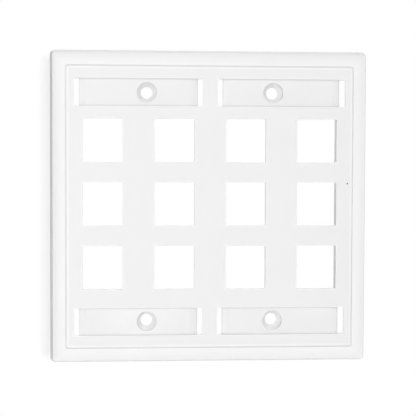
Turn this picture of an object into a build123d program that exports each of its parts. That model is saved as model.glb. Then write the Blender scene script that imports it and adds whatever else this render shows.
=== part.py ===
"""Two-gang wall plate with a grid of keystone ports and four label recesses.

The plate stands as it does on a wall. +Z is up, +X is to the right seen from the front, and the
front faces -Y. The origin is the centre of the four box screws, on the wall plane (y = 0).
"""

import os
from math import radians, tan

from build123d import *

# Plate envelope
plate_width = 116.4
plate_height = 114.3
plate_depth = 6.4
outer_corner_radius = 1.9
side_draft = 13.0
side_wall = 2.0
front_wall = 3.0

# Rim moulding round the panel
rim_width = 5.75
rim_drop = 1.9
shoulder_radius = 0.25
groove_width = 0.4
groove_depth = 0.55
panel_rise = 0.3
panel_corner_radius = 0.8
panel_edge_radius = 0.2

# Keystone ports
port_columns = 4
port_rows = 3
port_width = 14.5
port_height = 15.8
port_corner_radius = 0.3
port_web = 2.0

# Latching frame behind each port
tab_pocket = 1.6
latch_pocket = 4.0
tab_overhang = 1.2
latch_overhang = 2.0
side_relief = 1.0
ledge_depth = 8.0
ledge_thickness = 2.0
latch_land = 0.8
collar_wall = 1.4
row_wall = 1.7

# Box screws
screw_pitch_x = 46.04
screw_pitch_z = 83.34
screw_hole_diameter = 4.2
screw_head_diameter = 7.3
screw_head_depth = 2.6
countersink_angle = 82.0
boss_wall = 1.2

# Label recesses, with a window slot at each end
recess_margin = 2.7
recess_height = 9.85
recess_depth = 1.5
slot_width = 1.8
ramp_length = 2.7
ramp_drop = 0.6
ramp_chamfer = 0.4
recess_corner_radius = 0.3
lip_thickness = 1.2
catch_relief = 0.8

# Broken edge round every opening in the panel
opening_chamfer = 0.12

# Stiffening ribs
rib_thickness = 1.4
rib_setback = 0.8

# Sizes that follow from the ones above
cavity_depth = plate_depth - front_wall
draft_run = cavity_depth * tan(radians(side_draft))
crest_level = plate_depth - panel_rise
shoulder_level = crest_level - rim_drop
panel_width = plate_width - 2 * (rim_width + groove_width)
panel_height = plate_height - 2 * (rim_width + groove_width)
pocket_width = port_width + 2 * side_relief
pocket_height = port_height + tab_pocket + latch_pocket
port_rise = (latch_pocket - tab_pocket) / 2
port_pitch_x = panel_width / port_columns
port_pitch_z = pocket_height + row_wall
collar_width = pocket_width + 2 * collar_wall
collar_height = (port_rows - 1) * port_pitch_z + pocket_height + 2 * collar_wall
collar_rear = ledge_depth + ledge_thickness
latch_lead_in = ledge_thickness - latch_land
boss_diameter = screw_head_diameter + 2 * boss_wall
recess_pitch = panel_width / 2
recess_length = recess_pitch - 2 * recess_margin
ramp_foot = recess_depth + ramp_drop
rib_end = plate_height / 2 - side_wall / 2 - draft_run

# Planes whose own y axis points out of the wall
across = Plane(origin=(0, 0, 0), x_dir=(1, 0, 0), z_dir=(0, 0, -1))
upright = Plane(origin=(0, 0, 0), x_dir=(0, 0, 1), z_dir=(1, 0, 0))


def crown_section(plane, span):
    """Section of the front: flat between the grooves, falling in an arc to each outer edge."""
    half = span / 2
    crest = half - rim_width
    with BuildSketch(plane) as section:
        with BuildLine():
            flat = Line((0, crest_level), (crest, crest_level))
            arc = TangentArc(flat @ 1, (half, shoulder_level), tangent=flat % 1)
            Polyline(arc @ 1, (span, shoulder_level), (span, -plate_depth), (0, -plate_depth))
            mirror(about=Plane.YZ)
        make_face()
    return section.sketch


def mouth(width, height, corner_radius):
    """Outline of an opening in the panel, widened by its broken edge."""
    with BuildSketch() as outline:
        RectangleRounded(
            width + 2 * opening_chamfer,
            height + 2 * opening_chamfer,
            corner_radius + opening_chamfer,
        )
    return outline.sketch


# Jack cavity: the window in the front wall, the pocket behind it and the two catch ledges
with BuildPart() as jack_cavity:
    extrude(mouth(port_width, port_height, port_corner_radius), amount=-opening_chamfer, taper=45)
    with BuildSketch():
        RectangleRounded(port_width, port_height, port_corner_radius)
    extrude(amount=-port_web)
    top = port_height / 2
    bottom = -port_height / 2
    mouth_top = top + tab_pocket - tab_overhang
    mouth_bottom = bottom - latch_pocket + latch_overhang
    with BuildSketch(Plane.YZ):
        with BuildLine():
            Polyline(
                (top + tab_pocket, -port_web),
                (top + tab_pocket, -ledge_depth),
                (mouth_top, -ledge_depth),
                (mouth_top, -collar_rear),
                (mouth_bottom - latch_lead_in, -collar_rear),
                (mouth_bottom, -collar_rear + latch_lead_in),
                (mouth_bottom, -ledge_depth),
                (bottom - latch_pocket, -ledge_depth),
                (bottom - latch_pocket, -port_web),
                close=True,
            )
        make_face()
    extrude(amount=pocket_width / 2, both=True)

# Label recess: a shallow tray whose floor dips to an open slot at each end, where the panel is
# undercut to leave a lip that a label window's hooks snap behind
with BuildPart() as label_recess:
    with BuildSketch(Plane.XZ):
        with BuildLine():
            slot_edge = recess_length / 2 - slot_width
            Polyline(
                (0, 0),
                (recess_length / 2, 0),
                (recess_length / 2, -lip_thickness),
                (recess_length / 2 + catch_relief, -lip_thickness),
                (recess_length / 2 + catch_relief, -plate_depth),
                (slot_edge, -plate_depth),
                (slot_edge, -ramp_foot - ramp_chamfer),
                (slot_edge - ramp_chamfer, -ramp_foot),
                (slot_edge - ramp_length, -recess_depth),
                (0, -recess_depth),
            )
            mirror(about=Plane.YZ)
        make_face()
    extrude(amount=recess_height / 2, both=True)
    depth_edges = edges().filter_by(Axis.Z).group_by(Axis.X)
    fillet(depth_edges[1] + depth_edges[-2], recess_corner_radius)
    extrude(mouth(recess_length, recess_height, recess_corner_radius), amount=-opening_chamfer, taper=45)

with BuildPart(Plane.XZ) as faceplate:
    # Drafted block, its front cut to the mitred crown of the rim
    with BuildSketch(Plane.XZ):
        RectangleRounded(plate_width, plate_height, outer_corner_radius)
    extrude(amount=plate_depth, taper=side_draft)
    extrude(crown_section(across, plate_width), amount=plate_height, both=True, mode=Mode.INTERSECT)
    extrude(crown_section(upright, plate_height), amount=plate_width, both=True, mode=Mode.INTERSECT)

    rim_faces = faces().filter_by(GeomType.CYLINDER)
    wall_faces = faces().filter_by_position(Axis.Y, -shoulder_level, 0, inclusive=(False, False))
    fillet(rim_faces.edges() & wall_faces.edges(), shoulder_radius)

    # Raised panel inside a narrow groove
    with BuildSketch(Plane.XZ.offset(crest_level)):
        RectangleRounded(
            panel_width + 2 * groove_width,
            panel_height + 2 * groove_width,
            panel_corner_radius + groove_width,
        )
    extrude(amount=-groove_depth, mode=Mode.SUBTRACT)
    with BuildSketch(Plane.XZ.offset(crest_level - groove_depth)):
        RectangleRounded(panel_width, panel_height, panel_corner_radius)
    extrude(amount=groove_depth + panel_rise)
    fillet(faces().sort_by(Axis.Y)[0].edges(), panel_edge_radius)

    # Hollow back
    with BuildSketch(Plane.XZ):
        RectangleRounded(plate_width - 2 * side_wall, plate_height - 2 * side_wall, outer_corner_radius)
    extrude(amount=cavity_depth, taper=side_draft, mode=Mode.SUBTRACT)

    # Port collars, one to a column
    with BuildSketch(Plane.XZ.offset(cavity_depth)):
        with GridLocations(port_pitch_x, port_pitch_z, port_columns, 1):
            Rectangle(collar_width, collar_height)
    extrude(amount=front_wall - collar_rear)

    # Screw bosses and the ribs that tie them to the rim
    with BuildSketch(Plane.XZ):
        with GridLocations(screw_pitch_x, screw_pitch_z, 2, 2):
            Circle(boss_diameter / 2)
    extrude(amount=cavity_depth)
    with BuildSketch(Plane.XZ.offset(rib_setback)):
        Rectangle(rib_thickness, 2 * rib_end)
        with GridLocations(screw_pitch_x, rib_end + screw_pitch_z / 2, 2, 2):
            Rectangle(rib_thickness, rib_end - screw_pitch_z / 2)
    extrude(amount=cavity_depth - rib_setback)

    # Openings cut from the front
    with Locations((0, port_rise, plate_depth)):
        with GridLocations(port_pitch_x, port_pitch_z, port_columns, port_rows):
            add(jack_cavity.part, mode=Mode.SUBTRACT)
    with Locations((0, 0, plate_depth)):
        with GridLocations(recess_pitch, screw_pitch_z, 2, 2):
            add(label_recess.part, mode=Mode.SUBTRACT)
    with Locations((0, 0, plate_depth - recess_depth - screw_head_depth)):
        with GridLocations(screw_pitch_x, screw_pitch_z, 2, 2):
            CounterSinkHole(
                screw_hole_diameter / 2,
                screw_head_diameter / 2,
                counter_sink_angle=countersink_angle,
            )

faceplate.part.label = "faceplate"

os.makedirs("parts", exist_ok=True)
export_step(faceplate.part, "parts/faceplate.step")
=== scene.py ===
"""Looks of the keystone faceplate: its moulded plastic, the studio round it and the camera."""

from math import radians

import bpy
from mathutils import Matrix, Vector


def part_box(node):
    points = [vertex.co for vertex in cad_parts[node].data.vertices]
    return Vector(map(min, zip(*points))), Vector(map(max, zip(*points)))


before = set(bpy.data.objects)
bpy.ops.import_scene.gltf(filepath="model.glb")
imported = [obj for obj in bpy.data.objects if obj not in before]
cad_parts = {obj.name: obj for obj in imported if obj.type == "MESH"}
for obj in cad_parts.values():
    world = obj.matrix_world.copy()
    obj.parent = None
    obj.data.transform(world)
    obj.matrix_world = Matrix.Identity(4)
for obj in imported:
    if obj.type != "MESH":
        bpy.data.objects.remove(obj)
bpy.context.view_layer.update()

MM = 0.001
WHITE = (1.0, 1.0, 1.0, 1.0)

# The plate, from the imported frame
PLATE_LOW, PLATE_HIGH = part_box("faceplate")
HALF_WIDTH = PLATE_HIGH[0]
HALF_HEIGHT = PLATE_HIGH[2]
FRONT = PLATE_LOW[1]
REAR = PLATE_HIGH[1]

# Zones of the moulding, by their place on the front and their depth behind it
RIM_WIDTH = 6.15 * MM
RIM_DEPTH = -FRONT - 1.0 * MM
PANEL_DEPTH = 0.9 * MM
RECESS_DEPTH = 1.2 * MM
WEB_DEPTH = 2.4 * MM
RECESS_LEVEL = 36.0 * MM

# Openings in the panel: the grid of ports and the four label recesses
PORT_PITCH = (26.025 * MM, 23.1 * MM)
PORT_SIZE = (14.5 * MM, 15.8 * MM)
PORT_RISE = 1.2 * MM
PORT_ROWS = 3
RECESS_PLACE = (26.0125 * MM, 41.67 * MM)
RECESS_SIZE = (46.65 * MM, 9.85 * MM)

# Painted highlight: a lighter band round the openings and along the panel's border
EDGE_WIDTH = 0.3 * MM
EDGE_DEPTH = 0.2 * MM
BORDER_WIDTH = 0.8 * MM

# Painted shade: greyer lines along a recess's long creases, near the plate's middle and far from
# it, and in the groove
NEAR_CREASE_WIDTH = 0.3 * MM
NEAR_CREASE_SHADE = 0.15
FAR_CREASE_WIDTH = 0.5 * MM
FAR_CREASE_SHADE = 0.04
GROOVE_WIDTH = 0.4 * MM
GROOVE_SHADE = 0.05

# Plastic: a textured panel, a polished rim, edges with the rim's gloss and a lighter tone that is a
# painted highlight, smooth label recesses and a plain back
PANEL_TONE = 0.883
RIM_TONE = 0.936
RECESS_TONE = 0.872
BACK_TONE = 0.91
PANEL_GLOSS = 0.50
RIM_GLOSS = 0.40
RECESS_GLOSS = 0.48
BACK_GLOSS = 0.55
SHINE = 0.25

# Wide mottle in the plastic, and the fine grain of the mould
NOISE_DETAIL = 2.0
NOISE_MIDDLE = 0.5
MOTTLE_SCALE = 55.0
MOTTLE_TONE = 0.024
MOTTLE_GLOSS = 0.06
GRAIN_SCALE = 3800.0
GRAIN_GLOSS = 0.08
GRAIN_HEIGHT = 0.012 * MM
GRAIN_STRENGTH = 0.35
BACK_GRAIN = 0.7
RECESS_GRAIN = 0.3

# Pale bloom on the floor of the lower left recess, and a black speck in the plastic
BLOOM_PLACE = (-26.0 * MM, -41.7 * MM)
BLOOM_RADIUS = 15.0 * MM
BLOOM_SCALE = 260.0
BLOOM_TONE = 0.06
SPECK_PLACE = (50.38 * MM, 8.73 * MM)
SPECK_RADIUS = 0.265 * MM
SPECK_COLOUR = (0.02, 0.02, 0.02, 1.0)

# Camera: a little left of the plate's middle and above it, looking slightly down, in degrees
CAMERA_PLACE = (-34.6 * MM, FRONT - 445.0 * MM, 19.6 * MM)
CAMERA_TURN = (87.458, -0.2, -4.333)
CAMERA_ANGLE = 19.223
CAMERA_NEAR = 0.01

# Studio light: a white room, brightest in front, a softbox beside the camera and one behind
ROOM_LIGHT = 0.07
ROOM_FRONT = 0.94
ROOM_HEIGHT = 0.35
ROOM_RIGHT = 0.40
FRONT_BOX_PLACE = (-0.14, -0.70, 0.06)
FRONT_BOX_SIZE = (0.5, 0.5)
FRONT_BOX_POWER = 2.2
REAR_BOX_PLACE = (0.0, 0.95, 0.45)
REAR_BOX_SIZE = (0.8, 0.8)
REAR_BOX_POWER = 7.0

# White backdrop, a card at the plate's left with the plate's real shadow and a painted shadow on
# it, and the floor
UPRIGHT = (radians(90), 0, 0)
LEVEL = (0, 0, 0)
BACKDROP_PLACE = (0.0, REAR + 1.0 * MM, 0.0)
BACKDROP_SIZE = (3.0, 3.0)
CARD_PLACE = (-HALF_WIDTH - 6.0 * MM, 0.3 * MM, 0.0)
CARD_SIZE = (14.0 * MM, 130.0 * MM)
CARD_TONE = 0.9
CARD_LIFT = 0.16
CARD_SHADE = 0.172
CARD_FADE = 9.0 * MM
CARD_END = 3.5 * MM
FLOOR_PLACE = (0.0, 0.0, -0.2)
FLOOR_SIZE = (12.0, 12.0)
FLOOR_COLOUR = (0.86, 0.86, 0.86, 1.0)
FLOOR_LIFT = 0.58


class Wire:
    """A node socket that can be added, multiplied and compared like a number."""

    def __init__(self, finish, socket):
        self.finish = finish
        self.socket = socket

    def maths(self, operation, *values):
        return self.finish.node("ShaderNodeMath", {"operation": operation}, dict(enumerate(values)))

    def __add__(self, other):
        return self.maths("ADD", self, other)

    def __sub__(self, other):
        return self.maths("SUBTRACT", self, other)

    def __rsub__(self, other):
        return self.maths("SUBTRACT", other, self)

    def __mul__(self, other):
        return self.maths("MULTIPLY", self, other)

    def __truediv__(self, other):
        return self.maths("DIVIDE", self, other)

    def __lt__(self, other):
        return self.maths("LESS_THAN", self, other)

    def __gt__(self, other):
        return self.maths("GREATER_THAN", self, other)

    def __abs__(self):
        return self.maths("ABSOLUTE", self)

    def fold(self, length):
        """Run from 0 up to a length and back, over and over."""
        return self.maths("PINGPONG", self, length)

    def least(self, other):
        return self.maths("MINIMUM", self, other)

    def most(self, other):
        return self.maths("MAXIMUM", self, other)

    __radd__ = __add__
    __rmul__ = __mul__


class Finish:
    """A node tree, with one method that adds any node."""

    def __init__(self, owner):
        owner.use_nodes = True
        self.tree = owner.node_tree
        self.tree.nodes.clear()

    def node(self, kind, settings=None, inputs=None, out=0):
        """Add a node, set it, fill or link its sockets, and give back one of its outputs."""
        made = self.tree.nodes.new(kind)
        for key, value in (settings or {}).items():
            setattr(made, key, value)
        for key, value in (inputs or {}).items():
            if isinstance(value, Wire):
                self.tree.links.new(value.socket, made.inputs[key])
            else:
                made.inputs[key].default_value = value
        return Wire(self, made.outputs[out]) if made.outputs else made

    def point(self):
        """The point on the object that is being coloured."""
        return self.node("ShaderNodeTexCoord", out="Object")

    def parts(self, vector):
        """The x, y and z of a vector."""
        return [self.node("ShaderNodeSeparateXYZ", None, {0: vector}, axis) for axis in "XYZ"]

    def noise(self, point, scale):
        return self.node("ShaderNodeTexNoise", None, {
            "Vector": point,
            "Scale": scale,
            "Detail": NOISE_DETAIL,
        })

    def grey(self, level):
        return self.node("ShaderNodeCombineColor", None, {0: level, 1: level, 2: level})

    def colours(self, factor, first, second):
        """Mix two colours, on the sockets that a Mix node keeps for colours."""
        inputs = {0: factor, 6: first, 7: second}
        return self.node("ShaderNodeMix", {"data_type": "RGBA"}, inputs, 2)

    def seen(self):
        """1 for what the camera sees, straight, in gloss or through glass, and 0 for light."""
        rays = ("Is Camera Ray", "Is Glossy Ray", "Is Transmission Ray")
        camera, glossy, through = (self.node("ShaderNodeLightPath", out=ray) for ray in rays)
        return (camera + glossy + through).least(1.0)

    def surface(self, shader):
        self.node("ShaderNodeOutputMaterial", None, {"Surface": shader})


def outside(across, along, size):
    """How far a point lies outside a rectangle, from its distances to the rectangle's middle."""
    return (across - size[0] / 2).most(along - size[1] / 2)


def distance_squared(x, z, place):
    """Square of a point's distance from a place, seen straight from the front."""
    across, along = x - place[0], z - place[1]
    return across * across + along * along


def edge_highlight_mask(x, z, border):
    """Mask of the panel's border and of the edges round its openings, where a painted highlight
    goes.
    """
    half_column, half_row = PORT_PITCH[0] / 2, PORT_PITCH[1] / 2
    row = z - PORT_RISE
    port = outside(half_column - x.fold(half_column), row.fold(half_row), PORT_SIZE)
    in_rows = abs(row) < PORT_ROWS * half_row
    recess = outside(abs(abs(x) - RECESS_PLACE[0]), abs(abs(z) - RECESS_PLACE[1]), RECESS_SIZE)
    return (in_rows * (port < EDGE_WIDTH)).most(recess < EDGE_WIDTH).most(border < BORDER_WIDTH)


def moulded_plastic():
    """White plastic: each zone of the mould has its own tone, gloss and grain, with painted shade
    in the creases and groove and a painted highlight on the edges.
    """
    material = bpy.data.materials.new("moulded_plastic")
    finish = Finish(material)
    point = finish.point()
    x, y, z = finish.parts(point)
    depth = y - FRONT

    # Zones
    border = (HALF_WIDTH - RIM_WIDTH - abs(x)).least(HALF_HEIGHT - RIM_WIDTH - abs(z))
    inside = border > 0.0
    edges = inside * (depth < EDGE_DEPTH) * edge_highlight_mask(x, z, border)
    panel = inside * (depth < PANEL_DEPTH) - edges
    recess = inside * (depth > RECESS_DEPTH) * (depth < WEB_DEPTH) * (abs(z) > RECESS_LEVEL)
    # The edges take the rim's lighter tone, a painted highlight, and its gloss
    rim = (1 - inside) * (depth < RIM_DEPTH) + edges
    back = 1 - panel - recess - rim

    # Tone, with the mottle, the painted shade in the creases and the groove, and the bloom
    mottle = finish.noise(point, MOTTLE_SCALE) - NOISE_MIDDLE
    tone = panel * PANEL_TONE + recess * RECESS_TONE + rim * RIM_TONE + back * BACK_TONE
    tone = tone * (1 + mottle * MOTTLE_TONE)

    # Painted shade: darker lines along the recesses' long creases and in the groove
    level = abs(z) - RECESS_PLACE[1]
    near_crease_shade = recess * (level < NEAR_CREASE_WIDTH - RECESS_SIZE[1] / 2)
    far_crease_shade = recess * (level > RECESS_SIZE[1] / 2 - FAR_CREASE_WIDTH)
    groove = (1 - inside) * (border > -GROOVE_WIDTH)
    tone = tone - near_crease_shade * NEAR_CREASE_SHADE - far_crease_shade * FAR_CREASE_SHADE
    tone = tone - groove * GROOVE_SHADE

    bloom_far = distance_squared(x, z, BLOOM_PLACE) / BLOOM_RADIUS ** 2
    bloom = recess * (1 - bloom_far).most(0.0) * finish.noise(point, BLOOM_SCALE)
    tone = tone + bloom * BLOOM_TONE

    speck = panel * (distance_squared(x, z, SPECK_PLACE) < SPECK_RADIUS ** 2)
    colour = finish.colours(speck, finish.grey(tone), SPECK_COLOUR)

    # Gloss and grain
    grain = finish.noise(point, GRAIN_SCALE)
    gloss = panel * PANEL_GLOSS + recess * RECESS_GLOSS + rim * RIM_GLOSS + back * BACK_GLOSS
    gloss = gloss + (grain - NOISE_MIDDLE) * GRAIN_GLOSS + mottle * MOTTLE_GLOSS
    rough = finish.node("ShaderNodeBump", None, {
        "Height": grain * (panel + back * BACK_GRAIN + recess * RECESS_GRAIN),
        "Distance": GRAIN_HEIGHT,
        "Strength": GRAIN_STRENGTH,
    })
    finish.surface(finish.node("ShaderNodeBsdfPrincipled", None, {
        "Base Color": colour,
        "Roughness": gloss,
        "Normal": rough,
        "Specular IOR Level": SHINE,
    }))
    return material


def show_front(finish, front):
    """Show a sheet's front to the camera and its reflections, and leave it clear for light."""
    clear = finish.node("ShaderNodeBsdfTransparent")
    behind = finish.node("ShaderNodeNewGeometry", out="Backfacing")
    shown = finish.seen() * (1 - behind)
    finish.surface(finish.node("ShaderNodeMixShader", None, {0: shown, 1: clear, 2: front}))


def white_backdrop():
    """Plain white behind the plate."""
    material = bpy.data.materials.new("white_backdrop")
    finish = Finish(material)
    show_front(finish, finish.node("ShaderNodeEmission", None, {"Color": WHITE, "Strength": 1.0}))
    return material


def shadow_card():
    """White paper with a light behind it, and a painted shadow that greys it where it lies against
    the plate's left side.
    """
    material = bpy.data.materials.new("shadow_card")
    finish = Finish(material)
    x, _, z = finish.parts(finish.point())
    # Painted shadow: greyer near the plate's left side, fading out towards the plate's top and
    # bottom ends
    near = (1 + (x + HALF_WIDTH) / CARD_FADE).most(0.0)
    beside = ((HALF_HEIGHT - abs(z)) / CARD_END).most(0.0).least(1.0)
    tone = CARD_TONE - CARD_SHADE * near * near * beside
    show_front(finish, finish.node("ShaderNodeBsdfPrincipled", None, {
        "Base Color": finish.grey(tone),
        "Specular IOR Level": 0.0,
        "Emission Color": WHITE,
        "Emission Strength": CARD_LIFT,
    }))
    return material


def pale_floor():
    """Pale floor that keeps the plate's shadow, lifted only where it is seen."""
    material = bpy.data.materials.new("pale_floor")
    finish = Finish(material)
    plain = finish.node("ShaderNodeBsdfDiffuse", None, {"Color": FLOOR_COLOUR})
    glow = finish.node("ShaderNodeEmission", None, {"Color": WHITE, "Strength": FLOOR_LIFT})
    lifted = finish.node("ShaderNodeAddShader", None, {0: plain, 1: glow})
    shown = finish.seen()
    finish.surface(finish.node("ShaderNodeMixShader", None, {0: shown, 1: plain, 2: lifted}))
    return material


def add_sheet(name, place, size, turn, material):
    """A flat sheet of the stage, with its place and size in its mesh."""
    bpy.ops.object.select_all(action="DESELECT")
    bpy.ops.mesh.primitive_plane_add(size=1, location=place, rotation=turn)
    sheet = bpy.context.object
    sheet.scale = (*size, 1.0)
    bpy.ops.object.transform_apply()
    sheet.name = name
    sheet.data.materials.append(material)
    return sheet


def light_room():
    """A white room that lights mostly from the front, and a little more from the right."""
    world = bpy.data.worlds.new("studio")
    bpy.context.scene.world = world
    finish = Finish(world)
    direction = finish.node("ShaderNodeTexCoord", out="Generated")
    right, back, up = finish.parts(direction)
    front = (0 - back).most(0.0)
    level = ROOM_LIGHT + ROOM_RIGHT * right + ROOM_FRONT * front * front + ROOM_HEIGHT * up * up
    seen = finish.seen()
    light = finish.node("ShaderNodeBackground", None, {
        "Color": WHITE,
        "Strength": seen + (1 - seen) * level.most(0.0),
    })
    finish.node("ShaderNodeOutputWorld", None, {"Surface": light})


def add_softbox(name, place, size, power):
    """A soft rectangular lamp that faces the plate's middle."""
    data = bpy.data.lights.new(name, "AREA")
    data.shape = "RECTANGLE"
    data.size, data.size_y = size
    data.energy = power
    lamp = bpy.data.objects.new(name, data)
    lamp.location = place
    lamp.rotation_euler = (-Vector(place)).to_track_quat("-Z", "Y").to_euler()
    bpy.context.scene.collection.objects.link(lamp)


def add_camera():
    """The camera, in front of the plate."""
    data = bpy.data.cameras.new("camera")
    data.angle = radians(CAMERA_ANGLE)
    data.clip_start = CAMERA_NEAR
    camera = bpy.data.objects.new("camera", data)
    camera.location = CAMERA_PLACE
    camera.rotation_euler = [radians(angle) for angle in CAMERA_TURN]
    bpy.context.scene.collection.objects.link(camera)
    bpy.context.scene.camera = camera


bpy.context.scene.view_settings.view_transform = "Standard"
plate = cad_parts["faceplate"]
plate.data.materials.clear()
plate.data.materials.append(moulded_plastic())

backdrop = add_sheet("backdrop", BACKDROP_PLACE, BACKDROP_SIZE, UPRIGHT, white_backdrop())
card = add_sheet("card", CARD_PLACE, CARD_SIZE, UPRIGHT, shadow_card())
for sheet in (backdrop, card):
    sheet.visible_shadow = False
    sheet.visible_diffuse = False
add_sheet("floor", FLOOR_PLACE, FLOOR_SIZE, LEVEL, pale_floor())
light_room()
add_softbox("front_softbox", FRONT_BOX_PLACE, FRONT_BOX_SIZE, FRONT_BOX_POWER)
add_softbox("rear_softbox", REAR_BOX_PLACE, REAR_BOX_SIZE, REAR_BOX_POWER)
add_camera()
